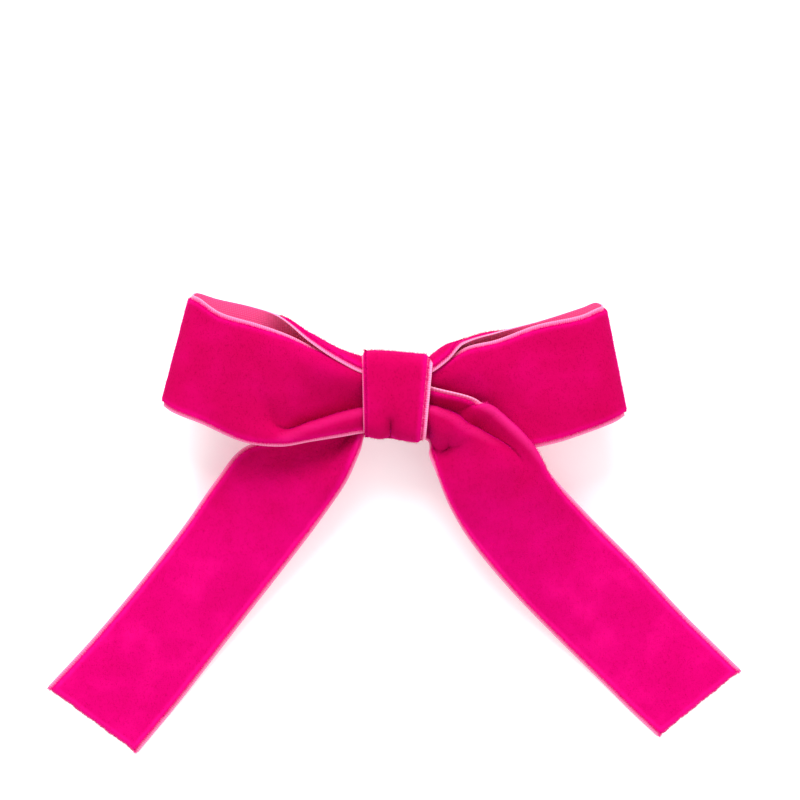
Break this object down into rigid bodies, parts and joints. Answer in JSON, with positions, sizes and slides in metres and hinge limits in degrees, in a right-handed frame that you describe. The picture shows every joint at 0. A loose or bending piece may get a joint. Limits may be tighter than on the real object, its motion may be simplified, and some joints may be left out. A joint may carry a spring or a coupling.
{
  "type": "barrette",
  "caption": "Velvet ribbon bow with long tails on an arched metal spring clip with a hinged arm, a bowed tension bar and a pinch catch",
  "frame": {"origin": "midway between the rims of the two sewing holes, on the bow's side of the base plate", "axes": "+X along the clip from the hinge to the catch; +Y up when worn, away from the tails; +Z out of the head, towards the bow's face"},
  "size_m": [0.1673, 0.1085, 0.0238],
  "materials": {
    "velvet_ribbon": "hot pink cut-pile velvet, woven back",
    "velvet_wrap": "hot pink cut-pile velvet, narrow ribbon",
    "sewing_thread": "matt polyester thread, pink",
    "hot_melt_glue": "cloudy hot-melt glue",
    "nickel_plated_plate": "nickel plated, satin",
    "nickel_plated_arm": "nickel plated, satin",
    "spring_steel": "plain spring strip",
    "rivet_steel": "plain rivet wire"
  },
  "bodies": {
    "bow_and_plate": {"base_plate": "nickel_plated_plate", "hinge_pin": "rivet_steel", "glue_bead": "hot_melt_glue", "pinched_middle": "velvet_ribbon", "binding_thread": "sewing_thread", "centre_wrap": "velvet_wrap", "left_loop": "velvet_ribbon", "right_loop": "velvet_ribbon", "left_tail": "velvet_ribbon", "right_tail": "velvet_ribbon"},
    "swing_arm": {"swing_arm": "nickel_plated_arm"},
    "tension_bar": {"tension_bar": "spring_steel"},
    "near_catch_finger": {"near_catch_finger": "nickel_plated_plate"},
    "far_catch_finger": {"far_catch_finger": "nickel_plated_plate"}
  },
  "joints": [
    {"name": "swing_arm_hinge", "type": "hinge", "parent": "bow_and_plate", "child": "swing_arm", "pos_m": [-0.028, 0, -0.0091], "axis": [0, 1, 0], "range_deg": [0, 100]},
    {"name": "tension_bar_flex", "type": "hinge", "parent": "bow_and_plate", "child": "tension_bar", "pos_m": [-0.028, 0, -0.0091], "axis": [0, -1, 0], "range_deg": [0, 1.5], "stiffness_Nm_per_rad": 0.5},
    {"name": "near_finger_pinch", "type": "hinge", "parent": "bow_and_plate", "child": "near_catch_finger", "pos_m": [0.028, -0.0025, -0.00495], "axis": [1, 0, 0], "range_deg": [0, 8], "stiffness_Nm_per_rad": 0.05},
    {"name": "far_finger_pinch", "type": "hinge", "parent": "bow_and_plate", "child": "far_catch_finger", "pos_m": [0.028, 0.0025, -0.00495], "axis": [-1, 0, 0], "range_deg": [0, 8], "stiffness_Nm_per_rad": 0.05}
  ]
}
